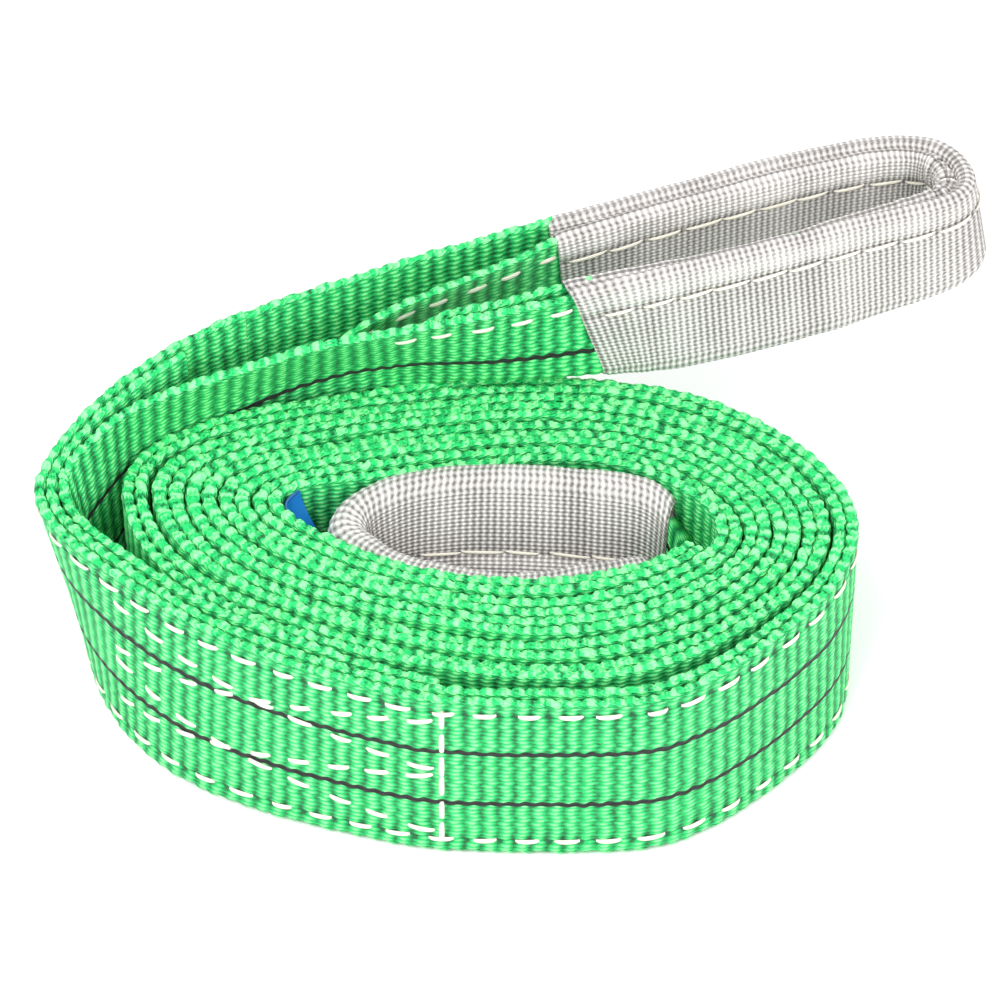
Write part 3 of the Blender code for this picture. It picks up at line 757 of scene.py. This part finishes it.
# Label, sewn to the innermost face and folded towards the eye
rows = np.zeros((6, 10))
rows[:, :4] = [(-40.5, 0.6, 56.0, 2.0), (-44.6, 3.0, 57.5, 3.0), (-49.0, 6.0, 58.5, 4.0),
               (-52.6, 10.4, 59.0, 4.0), (-53.8, 15.2, 59.2, 4.0), (-50.6, 20.0, 59.2, 4.0)]
rows[:, 4:6], rows[:, 8:] = (NO_FOLD, STEP), 1
tag = Strap(spline(rows, 120), 0.6)
tag_points = np.linspace(0.5, LABEL_WIDTH - 0.5, 46)
v, height = stadium(0.4, tag_points, tag_points, 7, 0.0, LABEL_WIDTH)[:2]
ripple = 0.25 * np.sin(tag.at / 5.0)[:, None] + 0.3 * np.sin(v / 7.0)[None] * np.sin(tag.at / 8.0)[:, None]
along_tag = (tag.at / tag.at[-1])[:, None]
curl = 0.6 * ripple - 11.0 * step(v / 28.0)[None] * step((along_tag - 0.12) / 0.45)
blank = 0 * curl
uv = np.stack([tag.at[:, None] + blank, v[None] + blank], axis=-1)
show(mesh_of("label_tag", [tag.place(v[None] + blank, height[None] + curl)], [uv], 0.5 + blank, LABEL),
     ["label"], "coil")

# Stitching: a run's height, and its stitches' length, gap and width
FACE = PLY / 2
EDGE_STITCH = (FACE, 6.4, 4.4, 1.7)
THROAT_STITCH = (FACE, 6.4, 4.4, 1.5)
SLEEVE_FACE = FACE + FIT + WALL + 0.22


def along(strap, start, end, v, look):
    return (strap, (start, v), (end, v), *look)


end_at = web.at[coil_end]
bend_at = web.at[bend_start]
coil_runs = [along(web, end_at - 372, bend_at - 2, v, EDGE_STITCH) for v in (SEAM, WIDTH - SEAM)]
for from_v, to_v, lift in ((8.0, 27.0, 0.0), (27.0, 9.5, 0.12), (29.5, 46.0, 0.0), (52.0, 31.0, 0.12)):
    coil_runs.append((web, (end_at + 2.0, from_v), (end_at + 96.0, to_v), FACE + lift, 6.2, 4.6, 1.7))
coil_runs.append((web, (end_at, 4.0), (end_at + 0.01, 56.0), FACE + 0.1, 7.0, 1.2, 1.5))
show(dashes("coil_stitching", coil_runs),
     ["upper_edge_seam", "lower_edge_seam", "end_seam", "lap_seam_1", "lap_seam_2", "lap_seam_3", "lap_seam_4"],
     "coil")
tail_run = along(web, bend_at + 2, web.at[tail_start] - 2, SEAM, EDGE_STITCH)
show(dashes("tail_stitching", [tail_run]), ["tail_edge_seam"])
near_from, near_to = (web.at[web.nearest(x, y, cover.at[-1] - 5)] for x, y in ((22.0, 59.5), (-26.0, 51.0)))
flap_from = web.at[web.nearest(-40.0, 69.0, web.at[tail_start])]
eye_look = (SLEEVE_FACE, 9.6, 1.4, 1.05)
eye_runs = [along(cover, cover.at[0] + 2, cover.at[-1] - 8, WIDTH - SLEEVE_SEAM, eye_look),
            along(cover, cover.at[0] + 112, cover.at[-1] - 3, SLEEVE_SEAM, eye_look),
            along(web, near_from, near_to, SEAM, THROAT_STITCH),
            along(web, flap_from, cover.at[0] - 1, 54.5, THROAT_STITCH)]
show(dashes("eye_stitching", eye_runs), ["eye_sleeve_seam"])
inner_run = along(inner_eye, inner_eye.length * 0.48, inner_eye.length - 14, WIDTH - SLEEVE_SEAM,
                  (SLEEVE_FACE, 9.6, 1.3, 1.0))
show(dashes("inner_stitching", [inner_run]), ["inner_sleeve_seam"], "coil")

# Floor and light
bpy.ops.mesh.primitive_plane_add(size=6.0, location=(0.0, 0.0, FLOOR_LEVEL))
floor = bpy.context.object
floor.name = "floor"
floor.data.materials.append(floor_material())
world = bpy.data.worlds.new("studio")
bpy.context.scene.world = world
world.use_nodes = True
backdrop = world.node_tree.nodes["Background"]
backdrop.inputs["Color"].default_value = (1.0, 1.0, 1.0, 1.0)
backdrop.inputs["Strength"].default_value = 0.85


def area_light(name, place, aim, size, power):
    light = bpy.data.lights.new(name, "AREA")
    light.size = size
    light.energy = power
    made = linked(name, light)
    made.location = place
    direction = np.array(aim) - np.array(place)
    flat = math.hypot(direction[0], direction[1])
    made.rotation_euler = (math.atan2(flat, -direction[2]), 0.0, math.atan2(-direction[0], direction[1]))


area_light("key", (-0.5, -0.7, 1.3), (0.0, 0.0, 0.04), 0.7, 15.0)
area_light("front", (0.1, -1.3, 0.45), (0.0, -0.05, 0.03), 0.6, 7.0)
area_light("fill", (1.0, -0.3, 0.9), (0.0, 0.0, 0.04), 0.9, 6.0)
area_light("back", (0.1, 1.1, 1.0), (0.0, 0.0, 0.05), 0.8, 5.0)
